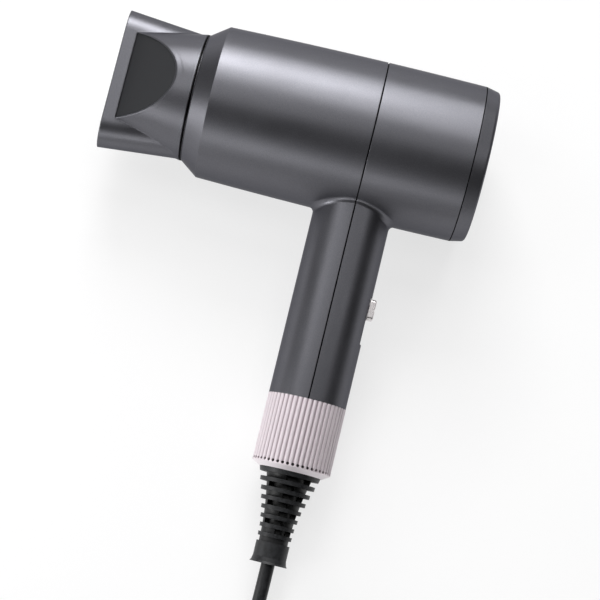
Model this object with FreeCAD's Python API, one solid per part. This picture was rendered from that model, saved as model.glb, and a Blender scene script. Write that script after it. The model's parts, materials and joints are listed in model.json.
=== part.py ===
"""Hair dryer lying on its side, with a slot nozzle and its mains lead wound up beside it."""
import FreeCAD, Part
import math
import os

from FreeCAD import Vector

# Millimetres. The pieces are drawn about the point where the handle's axis meets the barrel's:
# X runs back along the barrel, -Y runs down the handle, Z is square to both. place() then tips
# the dryer until barrel and collar both rest on the table, which is the plane z = 0.

# ---- barrel ----
BARREL_FRONT = 82.9            # handle axis to the front edge of the barrel
BARREL_REAR = 51.5             # handle axis to the cap's seam
R_FRONT = 39.6                 # outside radius at the front edge
R_MIDDLE = 41.0                # outside radius at the handle
R_REAR = 40.75                  # outside radius at the cap's seam
NECK_LENGTH = 9.0             # cone between the barrel and the nozzle
R_NECK = 33.1
WALL = 2.2
SEAM_WIDTH = 0.65              # groove where two mouldings meet
SEAM_DEPTH = 0.7

# ---- handle ----
R_HANDLE = 20.0
HANDLE_LENGTH = 138.5          # barrel axis to the top of the collar
ROOT_FILLET = 3.0              # where handle and barrel flow together
SPIGOT_END_GAP = 0.8           # end of the handle to the strain relief's head
SPIGOT_STEP = 1.9              # how far it is set in
SLIP = 0.15                    # clearance between pieces that slip together

# ---- outlet ----
NECK_RIM = 5.6                 # width of the barrel's face round the outlet
OUTLET_DEPTH = 13.0            # length of the outlet's own tube
OUTLET_WALL = 2.2
GRILLE_SET_IN = 5.0            # behind the barrel's face
GRILLE_THICK = 2.0
GRILLE_RINGS = 3
GRILLE_SPOKES = 8
GRILLE_BAR = 1.3

# ---- nozzle ----
NOZZLE_LENGTH = 43.4           # barrel's front face to the mouth
NOZZLE_TURN = 3.0             # degrees, from level with the handle
MOUTH_WIDTH = 74.0
MOUTH_HEIGHT = 25.0
LIP_LENGTH = 6.5               # level strip along the mouth
SKIRT_R_TIP = 26.5             # round skirt at the back of the lip
RAMP_START = 10.3               # ramp's top, from the barrel's front face
NOZZLE_WALL = 2.0
INLAY_RIM = 0.45               # skin left round a ramp inlay
INLAY_DEPTH = 0.5              # how far an inlay lies under the ramp
INLAY_THICK = 1.3
SLOT_WIDTH = 62.0
SLOT_HEIGHT = 9.0
CORE_WALL = 1.4
RING_THICK = 1.0
MAGNET_RING_GAP = 0.17
MAGNET_RING_THICK = 1.5
RING_SET_IN = 0.05
RING_SEAT = 0.15               # gap to the barrel's face
TURN_GAP = 0.3                 # gap to pieces that turn
TURN_FIT = 0.06                # running clearance of the nozzle on its ring
RING_WALL = 1.3
RING_HOLD = 4.5                # length that the nozzle turns on
RING_SPIGOT = 3.8              # length pushed into the outlet
RING_SLACK = 0.4

# ---- heater ----
SLEEVE_WALL = 0.6
SLEEVE_REAR = 18.0
MICA = 0.8
COIL_WIRE = 1.5                # radius of the heater's wound wire
COIL_R_WIDE = 21.0
COIL_R_NARROW = 18.5
COIL_COUNT = 5
COIL_SET_IN = 14.0             # first winding, behind the sleeve's front
COIL_PITCH = 9.0
MICA_REAR_GAP = 4.0
WIRE_SLACK = 0.1
THERMOSTAT_LENGTH = 9.0
THERMOSTAT_WIDTH = 7.0
THERMOSTAT_THICK = 2.4
THERMOSTAT_SIDE = 5.0          # off the barrel's axis
FUSE_LENGTH = 9.0
FUSE_R = 1.7
FUSE_SIDE = 8.0

# ---- motor and fan ----
DUCT_BOSS_GAP = 1.0            # fan's duct to the screw bosses
DUCT_WALL = 1.8
DUCT_FRONT = 14.0              # ahead of the handle axis
DUCT_REAR = 40.0
DUCT_SOCKET = 6.0              # length of the sleeve's socket
VANES = 7
VANE_THICK = 1.4
MOTOR_R = 14.5
MOTOR_FRONT = 10.0
MOTOR_REAR = 16.0
CAN_WALL = 1.2
CRADLE_WALL = 1.6
CRADLE_LENGTH = 16.0
FIT = 0.05
SHAFT_R = 1.5
BEARING_R = 4.0
BEARING_LENGTH = 3.0
ARMATURE_R = 10.5
ARMATURE_END_GAP = 2.0
ARMATURE_SLOTS = 7
ARMATURE_SLOT_R = 1.3
MAGNET_GAP = 0.5
HUB_R = 9.0
HUB_LENGTH = 12.0
HUB_GAP = 2.5                  # motor to fan
HUB_NOSE = 0.45                # nose's length as a share of the hub's radius
BLADES = 9
BLADE_THICK = 1.1
BLADE_PITCH = 38.0             # degrees
BLADE_TIP_GAP = 0.8
BLADE_EDGE = 0.7               # blade set in from the hub's ends
BLADE_ROOT = 0.8               # where a blade starts, as a share of the hub's radius
BOARD_THICK = 1.6
BOARD_GAP = 0.2
BOARD_RIM = 1.5                # can's edge to the motor board's
CHIP = 1.4
LEAD_HOLE_R = 4.2
GASKET_LENGTH = 4.0

# ---- rear cap ----
CAP_LENGTH = 7.7
CAP_TAPER = 1.6
CAP_ROUND = 1.8
CAP_GAP = 0.3
CAP_WALL = 2.0
CAP_SPIGOT = 5.0
CAP_FACE = 2.4                 # how far the intake face lies inside the rim
INTAKE_THICK = 1.2
INTAKE_HOLE_R = 1.15
INTAKE_PITCH = 4.2
INTAKE_RINGS = 7
FILTER_THICK = 0.8
FILTER_BAR = 0.5
FILTER_PITCH = 4.0
FILTER_RIM = 1.8
CAP_LEDGE = 1.2

# ---- shell screws ----
SCREW_R = 1.3
SCREW_HEAD_R = 2.4
SCREW_HEAD = 1.8
SCREW_LENGTH = 12.0
BOSS_R = 3.1
BOSS_ANGLES = [40.0, 140.0, 205.0, 335.0]
BOSS_FRONT = 8.0
BOSS_REAR = 26.0
BOSS_WALL_GAP = 0.3
SCREW_SEAT = 5.0

# ---- slide switch ----
FLAT_TOP = 79.5                # down the handle from the barrel's axis
FLAT_DEPTH = 0.92
PLATE_THICK = 0.6
PLATE_MARGIN = 0.8
KNOB_LENGTH = 10.7
KNOB_WIDTH = 8.6
KNOB_PROUD = 2.6               # beyond the handle's surface
KNOB_ROUND = 1.5
KNOB_GROOVE = 0.7
KNOB_END_GAP = 1.0             # knob to the flat's upper end
KNOB_LOW_GAP = 2.4             # and to its lower end at full travel
KNOB_TRAVEL = 11.0
STEM_WIDTH = 3.0
STEM_LENGTH = 4.0
STEM_DEPTH = 5.5
SWITCH_LENGTH = 22.0
SWITCH_WIDTH = 9.0
SWITCH_DEPTH = 7.0
SWITCH_BOARD_LENGTH = 44.0
SWITCH_BOARD_WIDTH = 15.0
CAPACITOR_R = 3.2
CAPACITOR_LENGTH = 9.0
RAIL_WIDTH = 1.8
SWITCH_GAP = 0.2

# ---- collar ----
COLLAR_LENGTH = 36.9
COLLAR_PROUD = 0.15            # beyond the handle's surface
COLLAR_CHAMFER = 2.3           # along the handle
COLLAR_CHAMFER_IN = 3.8        # radially
FLUTES = 48
FLUTE_DEPTH = 0.75
DIMPLE_R = 0.85
DIMPLE_ABOVE = 0.1             # above the chamfer
FLUTE_PAST = 0.35              # flutes run on past the dimples' middles
FUSE_LAP = 0.1                 # flutes reach this far into the smooth band
COLLAR_FLOOR = 2.6

# ---- strain relief ----
RELIEF_FLANGE_R = 15.75
RELIEF_FLANGE = 2.3
RELIEF_NECK_R = 11.0
RELIEF_HEAD_R = 14.0
RELIEF_HEAD = 3.0
RELIEF_PITCH = 4.53
RELIEF_RINGS = [14.15, 12.7, 11.55, 10.35, 9.6, 8.9, 8.7]
RELIEF_RING_THICK = 2.0
RELIEF_CORE_TOP = 11.6
RELIEF_CORE_END = 7.4
CUFF_R = 8.55
CUFF_LENGTH = 11.0
CUFF_FLARE_R = 9.65
CUFF_FLARE = 3.2
RELIEF_SLIT_DEPTH = 2.4
RELIEF_SLIT_SPAN = 84.0        # degrees
RELIEF_SLIT_TURNS = [35.0, -20.0]   # degrees from the top, in every other gap

# ---- mains lead ----
CORD_D = 7.0
CORD_SLACK = 0.05
CLAMP_ABOVE = 14.0             # clamp's middle, above the collar's bottom
CLAMP_WIDTH = 8.0
CLAMP_THICK = 3.0
CLAMP_SPAN = 23.0
CLAMP_SCREW_SPACING = 16.0
CLAMP_BOSS_R = 3.0
CLAMP_SCREW_R = 1.2
CLAMP_HEAD_R = 2.2
CLAMP_HEAD = 1.5
LEAD_R = 1.1
COIL_TURN_R = [29.0, 36.0, 43.0]
COIL_LAYERS = 2
TIE_THICK = 0.8
TIE_WIDTH = 10.0
TIE_ANGLE = 20.0
PIN_R = 2.4
PIN_LENGTH = 19.0
PIN_SPACING = 19.0
PIN_ROOT = 5.0
PIN_ROOT_R = 1.7
PLUG_WIDTH = 36.0
PLUG_HEIGHT = 26.0
PLUG_FACE = 7.0
PLUG_BODY = 22.0
PLUG_NECK_R = 7.0
PLUG_NECK_END_R = 5.2
PLUG_NECK = 20.0

# The free lead's places are steps along the table from under the end of the strain relief, and
# heights above the table. The first run goes on in line with the handle.
LEAD_FIRST_RUN = 14.5
LEAD_ROUTE = [(-0.35, -28.7, 9.2), (-0.2, -42.7, 6.0), (0.85, -56.7, 4.4)]
COIL_CENTRE = (44.0, -73.0)
TAIL_ROUTE = [(1.1, -75.4, 18.3), (-9.6, -87.2, 17.3), (-23.5, -95.2, 15.2), (-39.1, -98.6, 13.0)]
PLUG_END = (-54.1, -98.6)
PLUG_HEADING = 180.0           # degrees

X = Vector(1, 0, 0)
Y = Vector(0, 1, 0)
Z = Vector(0, 0, 1)
ORIGIN = Vector(0, 0, 0)
FAR = 400.0


# ---- plain solids ----
def rod(r, x0, x1):
    return Part.makeCylinder(r, x1 - x0, Vector(x0, 0, 0), X)


def pipe(r_out, r_in, x0, x1):
    return rod(r_out, x0, x1).cut(rod(r_in, x0 - 1, x1 + 1))


def block(x0, x1, y0, y1, z0, z1):
    return Part.makeBox(x1 - x0, y1 - y0, z1 - z0, Vector(x0, y0, z0))


def grip_rod(r, top, bottom):
    """A round bar on the handle's axis, between two distances from the barrel's axis."""
    return Part.makeCylinder(r, bottom - top, Vector(0, -top, 0), -Y)


def prism(points, direction):
    wire = Part.makePolygon(points + [points[0]])
    return Part.Face(wire).extrude(direction)


def turned(profile):
    """Solid of revolution about X from (x, r) points."""
    points = [Vector(x, r, 0) for x, r in profile]
    face = Part.Face(Part.makePolygon(points + [points[0]]))
    return face.revolve(ORIGIN, X, 360)


def turned_on_grip(profile):
    """Solid of revolution about the handle's axis from (distance, r) points."""
    points = [Vector(r, -d, 0) for d, r in profile]
    face = Part.Face(Part.makePolygon(points + [points[0]]))
    return face.revolve(ORIGIN, Y, 360)


def about_x(shape, angle):
    turned_copy = shape.copy()
    turned_copy.rotate(ORIGIN, X, angle)
    return turned_copy


def join(shapes):
    whole = shapes[0]
    if len(shapes) > 1:
        whole = whole.fuse(shapes[1:])
    return whole.removeSplitter()


def arc_through(a, b, c):
    """Centre and radius of the circle through three (x, y) points."""
    (ax, ay), (bx, by), (cx, cy) = a, b, c
    d = 2 * (ax * (by - cy) + bx * (cy - ay) + cx * (ay - by))
    a2, b2, c2 = ax ** 2 + ay ** 2, bx ** 2 + by ** 2, cx ** 2 + cy ** 2
    x = (a2 * (by - cy) + b2 * (cy - ay) + c2 * (ay - by)) / d
    y = (a2 * (cx - bx) + b2 * (ax - cx) + c2 * (bx - ax)) / d
    return x, y, math.hypot(ax - x, ay - y)


def polar(r, angle):
    return r * math.cos(math.radians(angle)), r * math.sin(math.radians(angle))


# ---- shells ----
def outlet_r():
    return R_NECK - NECK_RIM


def barrel_r(x):
    """Outside radius of the barrel's shallow arc."""
    cx, cy, r = arc_through((-BARREL_FRONT, R_FRONT), (0, R_MIDDLE), (BARREL_REAR, R_REAR))
    return cy + math.copysign(math.sqrt(r ** 2 - (x - cx) ** 2), -cy)


def least_barrel_r(x0, x1):
    return min(barrel_r(x0), barrel_r((x0 + x1) / 2), barrel_r(x1))


def barrel_form(inset):
    """Barrel with its neck, drawn in by a wall. Its side is one long shallow arc."""
    slant = math.hypot(NECK_LENGTH, R_FRONT - R_NECK) / NECK_LENGTH
    rise = (R_FRONT - R_NECK) / NECK_LENGTH
    front = front_face() + inset
    r_front = R_NECK + inset * rise - inset * slant
    corner = -BARREL_FRONT + inset * (slant - 1) / rise
    neck = [Vector(BARREL_REAR, 0, 0), Vector(front, 0, 0), Vector(front, r_front, 0)]
    neck.append(Vector(corner, R_FRONT - inset, 0))
    end = Vector(BARREL_REAR, R_REAR - inset, 0)
    side = Part.Arc(neck[-1], Vector(0, R_MIDDLE - inset, 0), end).toShape()
    outline = Part.Wire(Part.makePolygon(neck).Edges + [side, Part.makeLine(end, neck[0])])
    return Part.Face(outline).revolve(ORIGIN, X, 360)


def housing_form(inset):
    """Barrel and handle in one, rounded together at the handle's root."""
    whole = barrel_form(inset).fuse(grip_rod(R_HANDLE - inset, 0, HANDLE_LENGTH))
    root = []
    for edge in whole.Edges:
        box = edge.BoundBox
        if box.YMax < 0 and box.YMin > 1 - HANDLE_LENGTH and box.ZMax < R_HANDLE + 1:
            root.append(edge)
    return whole.makeFillet(ROOT_FILLET + inset, root)


def spigot_end():
    return collar_bottom() - COLLAR_FLOOR - RELIEF_HEAD - SPIGOT_END_GAP


def collar_spigot():
    top = HANDLE_LENGTH - WALL
    bottom = spigot_end()
    r = R_HANDLE - SPIGOT_STEP - SLIP
    return grip_rod(r, top, bottom)


def spigot_bore():
    bottom = spigot_end()
    r = R_HANDLE - SPIGOT_STEP - SLIP - WALL
    return grip_rod(r, HANDLE_LENGTH - WALL - 1, bottom + 1)


def seam_groove():
    """Shallow groove round the plane where the front and rear shells meet."""
    slab = block(-SEAM_WIDTH / 2, SEAM_WIDTH / 2, -HANDLE_LENGTH - 1, FAR, -FAR, FAR)
    return slab.cut(housing_form(SEAM_DEPTH))


def boss(angle, x0, x1):
    """Screw boss with a rib out to the barrel's wall."""
    mid = boss_radius()
    y, z = polar(mid, angle)
    post = Part.makeCylinder(BOSS_R, x1 - x0, Vector(x0, y, z), X)
    rib = block(x0, x1, mid, FAR, -BOSS_R / 3, BOSS_R / 3)
    return join([post, about_x(rib, angle).common(barrel_form(WALL / 2))])


def boss_radius():
    return least_barrel_r(-BOSS_FRONT, BOSS_REAR) - WALL - BOSS_R - BOSS_WALL_GAP


def boss_hole(angle, r, x0, x1):
    y, z = polar(boss_radius(), angle)
    return Part.makeCylinder(r, x1 - x0, Vector(x0, y, z), X)


def outlet_tube():
    return rod(outlet_r() + OUTLET_WALL, front_face(), front_face() + OUTLET_DEPTH)


def front_shell():
    hollow = housing_form(0).cut(housing_form(WALL))
    shell = hollow.fuse([collar_spigot(), outlet_tube()])
    outlet = rod(outlet_r(), front_face() - 1, front_face() + OUTLET_DEPTH + 1)
    shell = shell.cut([spigot_bore(), outlet, seam_groove()])
    shell = shell.common(block(-FAR, 0, -FAR, FAR, -FAR, FAR))
    bosses = [boss(a, -BOSS_FRONT, 0) for a in BOSS_ANGLES]
    bosses = [b.common(barrel_form(0.5)) for b in bosses]
    shell = shell.fuse(bosses + cord_posts())
    pilots = [boss_hole(a, SCREW_R, -BOSS_FRONT - 1, 1) for a in BOSS_ANGLES]
    return shell.cut(pilots + cord_post_holes() + [cord_seat()])


def rear_shell():
    hollow = housing_form(0).cut(housing_form(WALL))
    open_end = rod(R_REAR - WALL, BARREL_REAR - WALL - 1, BARREL_REAR + 1)
    shell = hollow.fuse([collar_spigot()])
    shell = shell.cut([spigot_bore(), open_end, seam_groove(), switch_flat()])
    shell = shell.common(block(0, FAR, -FAR, FAR, -FAR, FAR))
    bosses = [boss(a, 0, BOSS_REAR) for a in BOSS_ANGLES]
    bosses = [b.common(barrel_form(0.5)) for b in bosses]
    shell = shell.fuse(bosses + switch_rails())
    holes = [boss_hole(a, SCREW_R + SLIP, -1, BOSS_REAR + 1) for a in BOSS_ANGLES]
    holes += [boss_hole(a, SCREW_HEAD_R + SLIP, SCREW_SEAT, BOSS_REAR + 1) for a in BOSS_ANGLES]
    return shell.cut(holes + [switch_slot(0)])


def shell_screws():
    screws = []
    for angle in BOSS_ANGLES:
        y, z = polar(boss_radius(), angle)
        stem = Part.makeCylinder(SCREW_R, SCREW_LENGTH, Vector(SCREW_SEAT, y, z), -X)
        head = Part.makeCylinder(SCREW_HEAD_R, SCREW_HEAD, Vector(SCREW_SEAT, y, z), X)
        recess = Part.makeCylinder(SCREW_R * 0.8, SCREW_HEAD, Vector(SCREW_SEAT + SCREW_HEAD / 2, y, z), X)
        screws.append(stem.fuse(head).cut(recess))
    return Part.makeCompound(screws)


# ---- outlet and nozzle ----
def front_face():
    return -(BARREL_FRONT + NECK_LENGTH)


def outlet_grille():
    x1 = sleeve_front()
    x0 = x1 - GRILLE_THICK
    step = outlet_r() / (GRILLE_RINGS + 0.5)
    pieces = [pipe(outlet_r(), outlet_r() - GRILLE_BAR, x0, x1)]
    for i in range(1, GRILLE_RINGS + 1):
        pieces.append(pipe(step * i, step * i - GRILLE_BAR, x0, x1))
    for i in range(GRILLE_SPOKES):
        half = GRILLE_BAR / 2
        spoke = block(x0, x1, step - half, outlet_r() - half, -half, half)
        pieces.append(about_x(spoke, 360 / GRILLE_SPOKES * i))
    return join(pieces)


def neck_inside_r(x):
    rise = (R_FRONT - R_NECK) / NECK_LENGTH
    return R_NECK + (x - front_face()) * rise - WALL * math.hypot(1, rise)


def magnet_ring():
    """Steel ring behind the outlet's face, which the nozzle's ring clings to."""
    x0 = front_face() + WALL
    return pipe(neck_inside_r(x0) - MAGNET_RING_GAP, outlet_r() + OUTLET_WALL, x0, x0 + MAGNET_RING_THICK)


def hold_r():
    return outlet_r() - RING_SLACK


def nozzle_ring():
    """Back ring of the nozzle: a plate on the barrel's face, pushed in, with the hub it turns on."""
    x1 = front_face() - RING_SEAT
    x0 = x1 - RING_THICK
    plate = rod(R_NECK - RING_SET_IN, x0, x1)
    hub = rod(hold_r(), x0 - RING_HOLD, x1 + RING_SPIGOT)
    return join([plate, hub]).cut(rod(hold_r() - RING_WALL, -FAR, FAR))


def nozzle_root():
    return front_face() - RING_SEAT - RING_THICK - TURN_GAP


def mouth_x():
    return front_face() - NOZZLE_LENGTH


def lip_x():
    return mouth_x() + LIP_LENGTH


def stadium(x, half_width, half_height):
    """Flat-sided wire with round ends, square to X."""
    flat = half_width - half_height
    top = Part.LineSegment(Vector(x, flat, half_height), Vector(x, -flat, half_height))
    left = Part.Arc(Vector(x, -flat, half_height), Vector(x, -half_width, 0), Vector(x, -flat, -half_height))
    low = Part.LineSegment(Vector(x, -flat, -half_height), Vector(x, flat, -half_height))
    right = Part.Arc(Vector(x, flat, -half_height), Vector(x, half_width, 0), Vector(x, flat, half_height))
    return Part.Wire([piece.toShape() for piece in (top, left, low, right)])


def ring_wire(x, r):
    """Circle in four arcs that pair with the stadium's sides."""
    edges = []
    for start, end in ((40, 140), (140, 220), (220, 320), (320, 400)):
        points = [polar(r, a) for a in (start, (start + end) / 2, end)]
        edges.append(Part.Arc(*[Vector(x, y, z) for y, z in points]).toShape())
    return Part.Wire(edges)


def blade(inset):
    """Flat part of the nozzle, which widens towards the mouth."""
    root = stadium(nozzle_root(), R_NECK - RING_SET_IN - inset, MOUTH_HEIGHT / 2 - inset)
    mouth = stadium(mouth_x(), MOUTH_WIDTH / 2 - inset, MOUTH_HEIGHT / 2 - inset)
    return Part.makeLoft([root, mouth], True, True)


def skirt_cone(inset):
    """Round back of the nozzle, before its ramps are cut."""
    span = nozzle_root() - lip_x()
    return Part.makeCone(SKIRT_R_TIP - inset, R_NECK - inset, span, Vector(lip_x(), 0, 0), X)


def ramp_wedge(depth):
    """Everything under both ramps, from the lip to the root, lowered by a depth."""
    top_x = front_face() - RAMP_START
    share = (top_x - lip_x()) / (nozzle_root() - lip_x())
    top_z = SKIRT_R_TIP + (R_NECK - SKIRT_R_TIP) * share
    slope = (top_z - MOUTH_HEIGHT / 2) / (top_x - lip_x())
    down = depth * math.hypot(1, slope)
    low = MOUTH_HEIGHT / 2 - down
    high = low + slope * (nozzle_root() - lip_x())
    width = MOUTH_WIDTH
    points = [(lip_x(), -low), (lip_x(), low), (nozzle_root(), high), (nozzle_root(), -high)]
    return prism([Vector(x, -width, z) for x, z in points], Y * (2 * width))


def nozzle_form(inset, ramp_depth):
    skirt = skirt_cone(inset).common(ramp_wedge(ramp_depth))
    return blade(inset).fuse(skirt)


def ramp_pockets(rim, depth):
    """The D-shaped beds of the inlays."""
    return skirt_cone(rim).cut(ramp_wedge(depth))


def nozzle_shell():
    bed = INLAY_DEPTH + INLAY_THICK
    inside = nozzle_form(NOZZLE_WALL, bed + NOZZLE_WALL * 0.6)
    inside = inside.common(rod(FAR, mouth_x() + NOZZLE_WALL, nozzle_root() - NOZZLE_WALL))
    shell = nozzle_form(0, 0)
    shell = shell.cut([inside, ramp_pockets(INLAY_RIM, bed), core_outside()])
    return about_x(shell.removeSplitter(), -NOZZLE_TURN)


def nozzle_inlays():
    bed = INLAY_DEPTH + INLAY_THICK
    plates = ramp_pockets(INLAY_RIM + 0.03, bed).common(ramp_wedge(INLAY_DEPTH))
    return about_x(plates, -NOZZLE_TURN)


def core_r():
    return hold_r() + TURN_FIT + CORE_WALL


def core_outside():
    turn_end = nozzle_root() - RING_HOLD
    neck = rod(core_r(), turn_end, nozzle_root())
    mouth = stadium(mouth_x(), SLOT_WIDTH / 2 + CORE_WALL, SLOT_HEIGHT / 2 + CORE_WALL)
    funnel = Part.makeLoft([ring_wire(turn_end, core_r()), mouth], True, True)
    return neck.fuse(funnel)


def nozzle_core():
    """Inner duct that squeezes the round stream into the slot."""
    turn_end = nozzle_root() - RING_HOLD
    bore = rod(hold_r() + TURN_FIT, turn_end - TURN_GAP, nozzle_root() + 1)
    mouth = stadium(mouth_x(), SLOT_WIDTH / 2, SLOT_HEIGHT / 2)
    start = ring_wire(turn_end - TURN_GAP, hold_r() - RING_WALL)
    funnel = Part.makeLoft([start, mouth], True, True)
    return about_x(core_outside().cut([bore, funnel]), -NOZZLE_TURN)


# ---- heater ----
def sleeve_front():
    return front_face() + GRILLE_SET_IN + GRILLE_THICK


def heater_sleeve():
    return pipe(outlet_r(), outlet_r() - SLEEVE_WALL, sleeve_front(), -SLEEVE_REAR)


def windings(wire_r):
    """Alternate wide and narrow rings of wound wire."""
    rings = []
    for i in range(COIL_COUNT):
        x = sleeve_front() + COIL_SET_IN + COIL_PITCH * i
        ring_r = COIL_R_NARROW if i % 2 else COIL_R_WIDE
        rings.append(Part.makeTorus(ring_r, wire_r, Vector(x, 0, 0), X))
    return rings


def heater_windings():
    return Part.makeCompound(windings(COIL_WIRE))


def mica_front():
    return sleeve_front() + COIL_SET_IN - COIL_PITCH


def mica_rear():
    return -SLEEVE_REAR - MICA_REAR_GAP


def heater_cross():
    """Two crossed mica boards, notched for the windings."""
    half = outlet_r() - SLEEVE_WALL
    level = block(mica_front(), mica_rear(), -half, half, -MICA / 2, MICA / 2)
    upright = block(mica_front(), mica_rear(), -MICA / 2, MICA / 2, -half, half)
    boards = level.fuse(upright).common(rod(half - FIT, mica_front(), mica_rear()))
    return boards.cut(windings(COIL_WIRE + WIRE_SLACK)).removeSplitter()


def thermostat():
    x1 = mica_rear() - 1
    y0 = THERMOSTAT_SIDE
    z0 = MICA / 2
    return block(x1 - THERMOSTAT_LENGTH, x1, y0, y0 + THERMOSTAT_WIDTH, z0, z0 + THERMOSTAT_THICK)


def thermal_fuse():
    x1 = mica_rear() - 1
    return Part.makeCylinder(FUSE_R, FUSE_LENGTH, Vector(x1 - FUSE_LENGTH, -FUSE_SIDE, MICA / 2 + FUSE_R), X)


# ---- motor and fan ----
def duct_r():
    """Inside radius of the fan's duct, which fits between the screw bosses."""
    return boss_radius() - BOSS_R - DUCT_BOSS_GAP - DUCT_WALL


def fan_duct():
    """Duct round fan and motor, with the vanes that carry the motor's cradle."""
    cone = DUCT_FRONT + DUCT_WALL * 2
    socket = cone + DUCT_SOCKET
    outside = [(-socket, 0), (-socket, outlet_r() + DUCT_WALL), (-cone, outlet_r() + DUCT_WALL)]
    outside += [(-DUCT_FRONT, duct_r() + DUCT_WALL), (DUCT_REAR, duct_r() + DUCT_WALL), (DUCT_REAR, 0)]
    inside = [(-socket - 1, 0), (-socket - 1, outlet_r()), (-SLEEVE_REAR, outlet_r())]
    inside += [(-SLEEVE_REAR, outlet_r() - SLEEVE_WALL), (-cone, outlet_r() - SLEEVE_WALL)]
    inside += [(-DUCT_FRONT, duct_r()), (DUCT_REAR + 1, duct_r()), (DUCT_REAR + 1, 0)]
    tube = turned(outside).cut(turned(inside))
    cradle_in = MOTOR_R + FIT
    cradle = rod(cradle_in + CRADLE_WALL, -CRADLE_LENGTH / 2, CRADLE_LENGTH / 2)
    vanes = []
    for i in range(VANES):
        reach = duct_r() + DUCT_WALL / 2
        vane = block(-CRADLE_LENGTH / 2, CRADLE_LENGTH / 2, 0, reach, -VANE_THICK / 2, VANE_THICK / 2)
        vanes.append(about_x(vane, 90 + 360 / VANES * i))
    whole = join([tube, cradle] + vanes)
    lead_hole = Part.makeCylinder(LEAD_HOLE_R, 2 * DUCT_WALL + 2, Vector(lead_x(), -duct_r() + 1, 0), -Y)
    return whole.cut([rod(cradle_in, -FAR, FAR), lead_hole])


def duct_gasket():
    """Rubber ring between duct and rear shell."""
    x1 = DUCT_REAR - 1
    r_out = least_barrel_r(x1 - GASKET_LENGTH, x1) - WALL - FIT
    return pipe(r_out, duct_r() + DUCT_WALL, x1 - GASKET_LENGTH, x1)


def motor_can():
    front = -MOTOR_FRONT
    profile = [(front, BEARING_R), (front, MOTOR_R), (MOTOR_REAR, MOTOR_R), (MOTOR_REAR, MOTOR_R - CAN_WALL)]
    profile += [(front + BEARING_LENGTH, MOTOR_R - CAN_WALL), (front + BEARING_LENGTH, BEARING_R)]
    return turned(profile)


def motor_cap():
    return pipe(MOTOR_R - CAN_WALL, BEARING_R, MOTOR_REAR - BEARING_LENGTH, MOTOR_REAR)


def motor_bearings():
    bearings = []
    for x0 in (-MOTOR_FRONT, MOTOR_REAR - BEARING_LENGTH):
        bearings.append(pipe(BEARING_R, SHAFT_R + FIT, x0, x0 + BEARING_LENGTH))
    return Part.makeCompound(bearings)


def armature_ends():
    x0 = -MOTOR_FRONT + BEARING_LENGTH + ARMATURE_END_GAP
    x1 = MOTOR_REAR - BEARING_LENGTH - ARMATURE_END_GAP
    return x0, x1


def motor_magnets():
    x0, x1 = armature_ends()
    return pipe(MOTOR_R - CAN_WALL, ARMATURE_R + MAGNET_GAP, x0, x1)


def motor_armature():
    x0, x1 = armature_ends()
    core = pipe(ARMATURE_R, SHAFT_R, x0, x1)
    slots = []
    for i in range(ARMATURE_SLOTS):
        y, z = polar(ARMATURE_R, 360 / ARMATURE_SLOTS * i)
        slots.append(Part.makeCylinder(ARMATURE_SLOT_R, x1 - x0 + 2, Vector(x0 - 1, y, z), X))
    return core.cut(slots)


def fan_front():
    return MOTOR_REAR + HUB_GAP


def motor_shaft():
    return rod(SHAFT_R, -MOTOR_FRONT - BOARD_THICK - 1, fan_front() + HUB_LENGTH - 2)


def fan_blade():
    """One slanted blade, rooted inside the hub."""
    tip_r = duct_r() - BLADE_TIP_GAP
    chord = HUB_LENGTH - 2 * BLADE_EDGE
    blade = block(-chord, chord, HUB_R * BLADE_ROOT, tip_r + 2, -BLADE_THICK / 2, BLADE_THICK / 2)
    blade.rotate(ORIGIN, Y, BLADE_PITCH)
    blade.translate(Vector(fan_front() + HUB_LENGTH / 2, 0, 0))
    return blade.common(rod(tip_r, fan_front() + BLADE_EDGE, fan_front() + HUB_LENGTH - BLADE_EDGE))


def fan():
    x1 = fan_front() + HUB_LENGTH
    nose_length = HUB_R * HUB_NOSE
    nose = Part.makeCone(HUB_R, HUB_R - nose_length, nose_length, Vector(x1, 0, 0), X)
    wheel = rod(HUB_R, fan_front(), x1).fuse(nose)
    for i in range(BLADES):
        wheel = wheel.fuse(about_x(fan_blade(), 360 / BLADES * i))
    return wheel.cut(rod(SHAFT_R, fan_front() - 1, x1 - 2))


def motor_board():
    x1 = -MOTOR_FRONT - BOARD_GAP
    x0 = x1 - BOARD_THICK
    board = pipe(MOTOR_R - BOARD_RIM, SHAFT_R + 1, x0, x1)
    chip = block(x0 - CHIP, x0, 3 * CHIP, 6 * CHIP, -5 * CHIP, -2 * CHIP)
    driver = block(x0 - 1.5 * CHIP, x0, -6 * CHIP, -3.5 * CHIP, 2.4 * CHIP, 4.8 * CHIP)
    capacitor = Part.makeCylinder(1.4 * CHIP, 3 * CHIP, Vector(x0, 1.4 * CHIP, -5.8 * CHIP), -X)
    return join([board, chip, driver, capacitor])


# ---- rear cap ----
def cap_end():
    return BARREL_REAR + CAP_LENGTH


def grille_r():
    return R_REAR - WALL - CAP_GAP - CAP_WALL


def rear_cap():
    x0 = BARREL_REAR + CAP_GAP
    x1 = cap_end()
    bed = x1 - CAP_FACE - INTAKE_THICK
    spigot_r = R_REAR - WALL - CAP_GAP
    profile = [(x0, spigot_r), (x0, R_REAR), (x1, R_REAR - CAP_TAPER), (x1, grille_r()), (bed, grille_r())]
    profile += [(bed, grille_r() - CAP_LEDGE), (bed - CAP_LEDGE, grille_r() - CAP_LEDGE)]
    profile += [(bed - CAP_LEDGE, spigot_r - CAP_WALL), (BARREL_REAR - CAP_SPIGOT, spigot_r - CAP_WALL)]
    profile += [(BARREL_REAR - CAP_SPIGOT, spigot_r)]
    cap = turned(profile)
    rim = []
    for edge in cap.Edges:
        box = edge.BoundBox
        if box.XMin > x1 - 0.01 and box.YMax > grille_r() + 0.1:
            rim.append(edge)
    return cap.makeFillet(CAP_ROUND, rim)


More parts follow.
